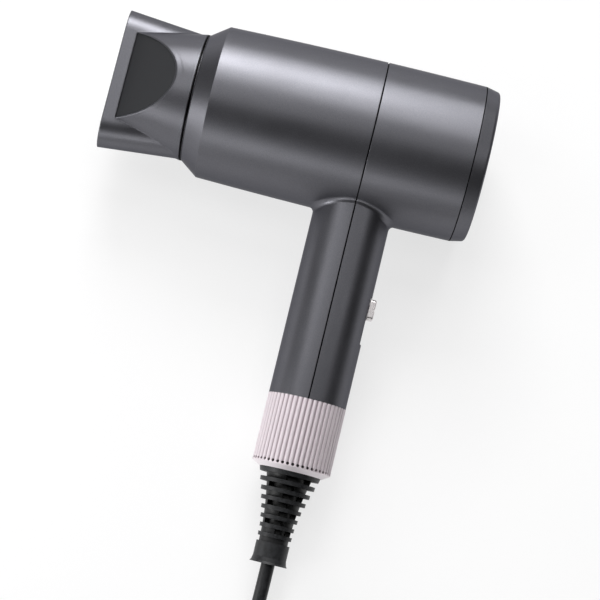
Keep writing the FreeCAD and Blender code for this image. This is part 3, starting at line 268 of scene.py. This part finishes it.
def titanium_paint(tree, edge_mm):
    """Metallic grey paint on moulded ABS, baked satin. Fine flakes and a little orange peel break
    up its broad soft highlights, and it turns darker where it is seen aslant, because the flakes
    lie flat. Its edges are rounded off by edge_mm. Over the shells' parting lines and just behind
    the nozzle's edge, bands of it are painted near black and given no shine, as painted shade.
    Real flakes are about 0.03 mm across. They are drawn at 0.35 mm, so that they show."""
    place = add(tree, "ShaderNodeTexCoord")["Object"]
    along = add(tree, "ShaderNodeSeparateXYZ", None, {"Vector": place})["X"]
    # Painted shade: inside these bands the paint is made near black (#040405) and fully rough, over the parting
    # lines and behind the nozzle's edge.
    seam_shade = 0.0
    for x, half_mm in (HOUSING_SEAM_SHADE, CAP_SEAM_SHADE, NOZZLE_SEAM_SHADE):
        here = add(tree, "ShaderNodeMath", {"operation": "COMPARE"}, {
            0: along, 1: x, 2: half_mm * MM})["Value"]
        seam_shade = add(tree, "ShaderNodeMath", {"operation": "MAXIMUM"}, {0: here, 1: seam_shade})["Value"]
    flakes = add(tree, "ShaderNodeTexNoise", None, {
        "Vector": place, "Scale": grains(0.35), "Detail": 3.0})["Fac"]
    paint = add(tree, "ShaderNodeValToRGB", {"stops": [(0.3, "#5F5F64"), (0.7, "#6D6D72")]}, {
        "Fac": flakes})["Color"]
    # The near-black colour here is painted shade over the bands found above.
    colour = add(tree, "ShaderNodeMix", {"data_type": "RGBA"}, {
        "Factor": seam_shade, MIX_FIRST: paint, MIX_SECOND: "#040405"})[MIX_COLOUR]
    drift = add(tree, "ShaderNodeTexNoise", None, {
        "Vector": place, "Scale": grains(30), "Detail": 2.0})["Fac"]
    sheen = add(tree, "ShaderNodeValToRGB", {"stops": [(0.3, 0.37), (0.7, 0.42)]}, {
        "Fac": drift})["Color"]
    dull = add(tree, "ShaderNodeMath", {"operation": "MAXIMUM"}, {0: sheen, 1: seam_shade})["Value"]
    edge = add(tree, "ShaderNodeBevel", {"samples": 6}, {"Radius": edge_mm * MM})["Normal"]
    peel = add(tree, "ShaderNodeTexNoise", None, {
        "Vector": place, "Scale": grains(0.7), "Detail": 2.0})["Fac"]
    normal = add(tree, "ShaderNodeBump", None, {
        "Height": peel, "Distance": 0.01 * MM, "Strength": 0.25, "Normal": edge})["Normal"]
    return {"Base Color": colour, "Metallic": 0.95, "Roughness": dull, "IOR": 1.5,
            "Specular Tint": "#A8A8AC", "Coat Weight": 0.08, "Coat Roughness": 0.3, "Normal": normal}


FLUTE_REACH = 1.25              # millimetres under the flutes' crests where their painted shade starts
COLLAR_BAND = 2.3               # smooth band at the collar's lower end, painted brightest as a painted highlight, in millimetres


def rose_paint(tree):
    """Rose-silver metallic paint on moulded ABS: pale and satin. Its colour is painted darker in the
    flutes and darkest in the holes at their ends, as painted shade, and brightest on the smooth band
    below them, as a painted highlight.
    Its flakes, really about 0.03 mm across, are drawn at 0.3 mm, so that they show."""
    place = add(tree, "ShaderNodeTexCoord")["Object"]
    spot = add(tree, "ShaderNodeVectorMath", {"operation": "SUBTRACT"}, {
        0: place, 1: tuple(ROOT)})["Vector"]
    aside = add(tree, "ShaderNodeVectorMath", {"operation": "CROSS_PRODUCT"}, {
        0: spot, 1: tuple(DOWN_HANDLE)})["Vector"]
    reach = add(tree, "ShaderNodeVectorMath", {"operation": "LENGTH"}, {0: aside})["Value"]
    crest = round_handle("grip_collar")
    height = add(tree, "ShaderNodeMapRange", None, {
        "Value": reach, "From Min": crest - FLUTE_REACH * MM, "From Max": crest, "To Max": 0.9})["Result"]
    down = add(tree, "ShaderNodeVectorMath", {"operation": "DOT_PRODUCT"}, {
        0: spot, 1: tuple(DOWN_HANDLE)})["Value"]
    # The smooth band below the flutes is painted brightest: a painted highlight.
    highlight_band_start = along_handle("grip_collar")[1] - COLLAR_BAND * MM
    band = add(tree, "ShaderNodeMath", {"operation": "GREATER_THAN"}, {0: down, 1: highlight_band_start})["Value"]
    painted_light_level = add(tree, "ShaderNodeMath", {"operation": "MAXIMUM"}, {0: height, 1: band})["Value"]
    # Painted shade and highlight: darker colour in the flutes, darkest in the holes at their ends, brightest on
    # the smooth band below them.
    paint = add(tree, "ShaderNodeValToRGB", {"stops": [
        (0.0, "#1C1719"), (0.3, "#2C2427"), (0.34, "#978A90"),
        (0.6, "#CDC1C7"), (0.9, "#E4DADF"), (0.97, "#F0E8EC")]}, {"Fac": painted_light_level})["Color"]
    flakes = add(tree, "ShaderNodeTexNoise", None, {
        "Vector": place, "Scale": grains(0.3), "Detail": 3.0})["Fac"]
    sheen = add(tree, "ShaderNodeValToRGB", {"stops": [(0.3, 0.36), (0.7, 0.44)]}, {
        "Fac": flakes})["Color"]
    normal = add(tree, "ShaderNodeBump", None, {
        "Height": flakes, "Distance": 0.008 * MM, "Strength": 0.3})["Normal"]
    return {"Base Color": paint, "Metallic": 0.35, "Roughness": sheen, "IOR": 1.5, "Coat Weight": 0.1,
            "Coat Roughness": 0.25, "Normal": normal}


def champagne_plating(tree):
    """Vacuum-plated slide knob under a faint champagne lacquer: a real metal shine, barely softened."""
    place = add(tree, "ShaderNodeTexCoord")["Object"]
    cloud = add(tree, "ShaderNodeTexNoise", None, {
        "Vector": place, "Scale": grains(2.5), "Detail": 2.0})["Fac"]
    tint = add(tree, "ShaderNodeValToRGB", {"stops": [(0.3, "#DDD8D9"), (0.7, "#E5E0E0")]}, {
        "Fac": cloud})["Color"]
    sheen = add(tree, "ShaderNodeValToRGB", {"stops": [(0.3, 0.26), (0.7, 0.3)]}, {
        "Fac": cloud})["Color"]
    edge = add(tree, "ShaderNodeBevel", {"samples": 6}, {"Radius": 0.3 * MM})["Normal"]
    ripple = add(tree, "ShaderNodeTexNoise", None, {"Vector": place, "Scale": grains(1.5)})["Fac"]
    normal = add(tree, "ShaderNodeBump", None, {
        "Height": ripple, "Distance": 0.01 * MM, "Strength": 0.1, "Normal": edge})["Normal"]
    return {"Base Color": tint, "Metallic": 1.0, "Roughness": sheen, "Coat Weight": 0.3, "Normal": normal}


def black_nylon(tree):
    """Black moulded polyamide with a fine spark texture, so it looks soft and nearly without shine.
    The texture's grain, really about 0.1 mm, is drawn at 0.4 mm, so that it shows."""
    place = add(tree, "ShaderNodeTexCoord")["Object"]
    grain = add(tree, "ShaderNodeTexNoise", None, {
        "Vector": place, "Scale": grains(0.4), "Detail": 3.0})["Fac"]
    colour = add(tree, "ShaderNodeValToRGB", {"stops": [(0.3, "#16171A"), (0.7, "#1C1D21")]}, {
        "Fac": grain})["Color"]
    dull = add(tree, "ShaderNodeValToRGB", {"stops": [(0.3, 0.5), (0.7, 0.62)]}, {
        "Fac": grain})["Color"]
    normal = add(tree, "ShaderNodeBump", None, {
        "Height": grain, "Distance": 0.03 * MM, "Strength": 0.4})["Normal"]
    return {"Base Color": colour, "Roughness": dull, "IOR": 1.53, "Normal": normal}


def soft_pvc(tree):
    """Black soft PVC, moulded and extruded: dull, with a faint grey bloom and small ripples. Its
    colour is painted darker between its ribs and wherever surfaces crowd close, as painted shade."""
    place = add(tree, "ShaderNodeTexCoord")["Object"]
    bloom = add(tree, "ShaderNodeTexNoise", None, {
        "Vector": place, "Scale": grains(1.6), "Detail": 4.0})["Fac"]
    # Ambient occlusion darkens the colour between the ribs and in other crowded places, down to #040405: painted
    # shade.
    painted_rib_shade = add(tree, "ShaderNodeAmbientOcclusion", {"samples": 8}, {"Distance": 4 * MM})["AO"]
    bloom_and_rib_shade = add(tree, "ShaderNodeMath", {"operation": "MULTIPLY"}, {0: bloom, 1: painted_rib_shade})["Value"]
    colour = add(tree, "ShaderNodeValToRGB", {"stops": [
        (0.12, "#040405"), (0.34, "#141517"), (0.7, "#242528")]}, {"Fac": bloom_and_rib_shade})["Color"]
    dull = add(tree, "ShaderNodeValToRGB", {"stops": [(0.3, 0.42), (0.7, 0.56)]}, {
        "Fac": bloom})["Color"]
    ripple = add(tree, "ShaderNodeTexNoise", None, {
        "Vector": place, "Scale": grains(0.9), "Detail": 3.0})["Fac"]
    normal = add(tree, "ShaderNodeBump", None, {
        "Height": ripple, "Distance": 0.03 * MM, "Strength": 0.35})["Normal"]
    return {"Base Color": colour, "Roughness": dull, "IOR": 1.52, "Specular IOR Level": 0.4,
            "Normal": normal}


def zinc_steel(tree):
    """Zinc-plated steel pressings and screws: bright grey, lightly clouded. Its pits, really under
    0.1 mm, are drawn at 0.4 mm, so that they show."""
    place = add(tree, "ShaderNodeTexCoord")["Object"]
    cloud = add(tree, "ShaderNodeTexNoise", None, {
        "Vector": place, "Scale": grains(2.5), "Detail": 4.0})["Fac"]
    colour = add(tree, "ShaderNodeValToRGB", {"stops": [(0.3, "#B5B7BA"), (0.7, "#CBCCCE")]}, {
        "Fac": cloud})["Color"]
    sheen = add(tree, "ShaderNodeValToRGB", {"stops": [(0.3, 0.28), (0.7, 0.42)]}, {
        "Fac": cloud})["Color"]
    pits = add(tree, "ShaderNodeTexNoise", None, {"Vector": place, "Scale": grains(0.4)})["Fac"]
    normal = add(tree, "ShaderNodeBump", None, {
        "Height": pits, "Distance": 0.01 * MM, "Strength": 0.2})["Normal"]
    return {"Base Color": colour, "Metallic": 1.0, "Roughness": sheen, "Normal": normal}


def black_oxide_steel(tree):
    """Steel blackened in oxide: deep grey, oily satin. Its pits, really under 0.1 mm, are drawn at
    0.35 mm, so that they show."""
    place = add(tree, "ShaderNodeTexCoord")["Object"]
    cloud = add(tree, "ShaderNodeTexNoise", None, {
        "Vector": place, "Scale": grains(1.5), "Detail": 4.0})["Fac"]
    colour = add(tree, "ShaderNodeValToRGB", {"stops": [(0.3, "#2E2E31"), (0.7, "#3E3E42")]}, {
        "Fac": cloud})["Color"]
    sheen = add(tree, "ShaderNodeValToRGB", {"stops": [(0.3, 0.38), (0.7, 0.5)]}, {
        "Fac": cloud})["Color"]
    pits = add(tree, "ShaderNodeTexNoise", None, {"Vector": place, "Scale": grains(0.35)})["Fac"]
    normal = add(tree, "ShaderNodeBump", None, {
        "Height": pits, "Distance": 0.01 * MM, "Strength": 0.25})["Normal"]
    return {"Base Color": colour, "Metallic": 0.9, "Roughness": sheen, "Normal": normal}


def nickel_chrome_wire(tree):
    """Drawn nickel-chrome wire, browned in bands by its own heat. The grains of its oxide skin,
    really under 0.1 mm, are drawn at 0.5 mm, so that they show."""
    place = add(tree, "ShaderNodeTexCoord")["Object"]
    heat = add(tree, "ShaderNodeTexNoise", None, {
        "Vector": place, "Scale": grains(5), "Detail": 3.0})["Fac"]
    colour = add(tree, "ShaderNodeValToRGB", {"stops": [
        (0.3, "#8C7A6B"), (0.5, "#A08F83"), (0.7, "#7A6E72")]}, {"Fac": heat})["Color"]
    sheen = add(tree, "ShaderNodeValToRGB", {"stops": [(0.3, 0.3), (0.7, 0.45)]}, {
        "Fac": heat})["Color"]
    scale = add(tree, "ShaderNodeTexNoise", None, {"Vector": place, "Scale": grains(0.5)})["Fac"]
    normal = add(tree, "ShaderNodeBump", None, {
        "Height": scale, "Distance": 0.05 * MM, "Strength": 0.5})["Normal"]
    return {"Base Color": colour, "Metallic": 1.0, "Roughness": sheen, "Normal": normal}


def mica_board(tree):
    """Pressed mica: pale straw-brown scales in a dull board."""
    place = add(tree, "ShaderNodeTexCoord")["Object"]
    scales = add(tree, "ShaderNodeTexVoronoi", None, {"Vector": place, "Scale": grains(3)})
    colour = add(tree, "ShaderNodeValToRGB", {"stops": [
        (0.1, "#A89878"), (0.5, "#C4B693"), (0.9, "#B6A47F")]}, {"Fac": scales["Color"]})["Color"]
    dull = add(tree, "ShaderNodeValToRGB", {"stops": [(0.2, 0.35), (0.8, 0.6)]}, {
        "Fac": scales["Color"]})["Color"]
    normal = add(tree, "ShaderNodeBump", None, {
        "Height": scales["Distance"], "Distance": 0.05 * MM, "Strength": 0.3})["Normal"]
    return {"Base Color": colour, "Roughness": dull, "IOR": 1.56, "Normal": normal}


def solder_mask(tree):
    """Green solder mask over glass-fibre board, with the weave just showing through. Its threads,
    really about 0.5 mm wide, are drawn at 0.9 mm, so that they show."""
    place = add(tree, "ShaderNodeTexCoord")["Object"]
    weave = add(tree, "ShaderNodeTexChecker", None, {"Vector": place, "Scale": grains(0.9)})["Fac"]
    colour = add(tree, "ShaderNodeValToRGB", {"stops": [(0.0, "#17502F"), (1.0, "#1D5C38")]}, {
        "Fac": weave})["Color"]
    cloud = add(tree, "ShaderNodeTexNoise", None, {"Vector": place, "Scale": grains(2)})["Fac"]
    sheen = add(tree, "ShaderNodeValToRGB", {"stops": [(0.3, 0.35), (0.7, 0.45)]}, {
        "Fac": cloud})["Color"]
    normal = add(tree, "ShaderNodeBump", None, {
        "Height": weave, "Distance": 0.01 * MM, "Strength": 0.3})["Normal"]
    return {"Base Color": colour, "Roughness": sheen, "IOR": 1.52, "Coat Weight": 0.3,
            "Coat Roughness": 0.15, "Normal": normal}


FINISHES = {
    "shell_coat": finish_of("satin_titanium_paint", titanium_paint, SHELL_EDGE),
    "rose_coat": finish_of("satin_rose_silver_paint", rose_paint),
    "black_plastic": finish_of("spark_textured_black_nylon", black_nylon),
    "rubber": finish_of("soft_black_pvc", soft_pvc),
    "steel": finish_of("zinc_plated_steel", zinc_steel),
    "dark_steel": finish_of("black_oxide_steel", black_oxide_steel),
    "heater_alloy": finish_of("heat_tinted_nickel_chrome", nickel_chrome_wire),
    "mica": finish_of("pressed_mica_board", mica_board),
    "circuit_board": finish_of("green_solder_mask", solder_mask),
}
NOZZLE_PAINT = finish_of("satin_titanium_paint_on_nozzle", titanium_paint, NOZZLE_EDGE)
KNOB_PLATING = finish_of("champagne_metal_plating", champagne_plating)


def wear(piece, material):
    piece.data.materials.clear()
    piece.data.materials.append(material)


def dress_nodes():
    """Each node of the model takes the finish of its material slot, apart from the nozzle, whose
    edges are rounder, and the plated knob."""
    for part in frame["record"]["subparts"]:
        wear(NODES[part["node"]], FINISHES[part["material_slot"]])
    wear(NODES["nozzle_shell"], NOZZLE_PAINT)
    wear(NODES["switch_knob"], KNOB_PLATING)


dress_nodes()
wear(mains_lead, FINISHES["rubber"])


# ---- floor and light ----
FLOOR_REACH = 15.0              # metres from the middle to each side
FLOOR_DROP = 0.2 * MM           # under what rests on it
FLOOR_GLOW = 0.7                # share of plain white that the camera and shiny pieces see in it


def white_paper(tree):
    """Bleached paper with a broad faint unevenness: matt, so it takes only soft shadows."""
    place = add(tree, "ShaderNodeTexCoord")["Object"]
    cloud = add(tree, "ShaderNodeTexNoise", None, {"Vector": place, "Scale": grains(60)})["Fac"]
    colour = add(tree, "ShaderNodeValToRGB", {"stops": [(0.3, "#FBFBFC"), (0.7, "#FDFDFD")]}, {
        "Fac": cloud})["Color"]
    return {"Base Color": colour, "Roughness": 0.9}


def let_floor_glow(material):
    """The camera and shiny pieces see part of the floor as plain white, which lights nothing matt."""
    tree = material.node_tree
    rays = add(tree, "ShaderNodeLightPath")
    seen = rays["Is Camera Ray"]
    for ray in ("Is Glossy Ray", "Is Transmission Ray"):
        seen = add(tree, "ShaderNodeMath", {"operation": "MAXIMUM"}, {0: seen, 1: rays[ray]})["Value"]
    share = add(tree, "ShaderNodeMath", {"operation": "MULTIPLY"}, {0: seen, 1: FLOOR_GLOW})["Value"]
    glow = add(tree, "ShaderNodeEmission", None, {"Strength": 1.0})["Emission"]
    paper = tree.nodes["Principled BSDF"].outputs["BSDF"]
    blend = add(tree, "ShaderNodeMixShader", None, {0: share, 1: paper, 2: glow})["Shader"]
    tree.links.new(blend, tree.nodes["Material Output"].inputs["Surface"])


def add_floor():
    data = bpy.data.meshes.new("floor")
    form = bmesh.new()
    bmesh.ops.create_grid(form, x_segments=1, y_segments=1, size=FLOOR_REACH)
    form.to_mesh(data)
    form.free()
    floor = bpy.data.objects.new("floor", data)
    floor.location.z = min(0.0, cad_box[0][2]) - FLOOR_DROP
    bpy.context.scene.collection.objects.link(floor)
    paper = finish_of("white_paper", white_paper)
    let_floor_glow(paper)
    wear(floor, paper)


LAMP_DISTANCE = 1.3             # metres from the middle of the view
ROOM_GLOW = 0.02                # faint light from all round
LAMPS = [       # name, degrees round from +x and up from the table, width and height, brightness
    ("key", 106, 38, (0.5, 0.46), 12.3),
    ("key_right", 82, 38, (0.5, 0.46), 2.3),
    ("key_far", 94, 22, (1.0, 0.24), 4.8),
    ("overhead", 90, 60, (0.9, 0.4), 3.35),
    ("top", 170, 78, (0.45, 0.45), 1.5),
    ("top_left", 170, 52, (0.45, 0.6), 2.55),
    ("top_right", 10, 76, (0.35, 0.5), 1.1),
    ("right", 10, 52, (0.4, 0.5), 1.5),
    ("low_left", 205, 16, (0.6, 0.35), 9.9),
    ("fill_left", 245, 24, (0.6, 0.45), 2.9),
    ("fill_low", 270, 18, (0.6, 0.35), 1.35),
    ("fill", 270, 22, (1.4, 0.45), 0.8),
]


def add_lamp(name, round_from_x, up, size, radiance):
    """A flat soft lamp that faces the dryer. radiance is its brightness, where 1 is white."""
    data = bpy.data.lights.new(name, "AREA")
    data.shape = "RECTANGLE"
    data.size, data.size_y = size
    data.energy = radiance * math.pi * size[0] * size[1]
    lamp = bpy.data.objects.new(name, data)
    turn, rise = math.radians(round_from_x), math.radians(up)
    away = Vector((math.cos(turn) * math.cos(rise), math.sin(turn) * math.cos(rise), math.sin(rise)))
    lamp.location = VIEW_MIDDLE + away * LAMP_DISTANCE
    lamp.rotation_euler = away.to_track_quat("Z", "Y").to_euler()
    bpy.context.scene.collection.objects.link(lamp)


def add_light():
    world = bpy.data.worlds.new("studio")
    world.use_nodes = True
    background = world.node_tree.nodes["Background"]
    background.inputs["Color"].default_value = linear("#FFFFFF")
    background.inputs["Strength"].default_value = ROOM_GLOW
    bpy.context.scene.world = world
    for lamp in LAMPS:
        add_lamp(*lamp)


add_floor()
add_light()

scene = bpy.context.scene
scene.view_settings.view_transform = "Standard"

bpy.context.view_layer.update()
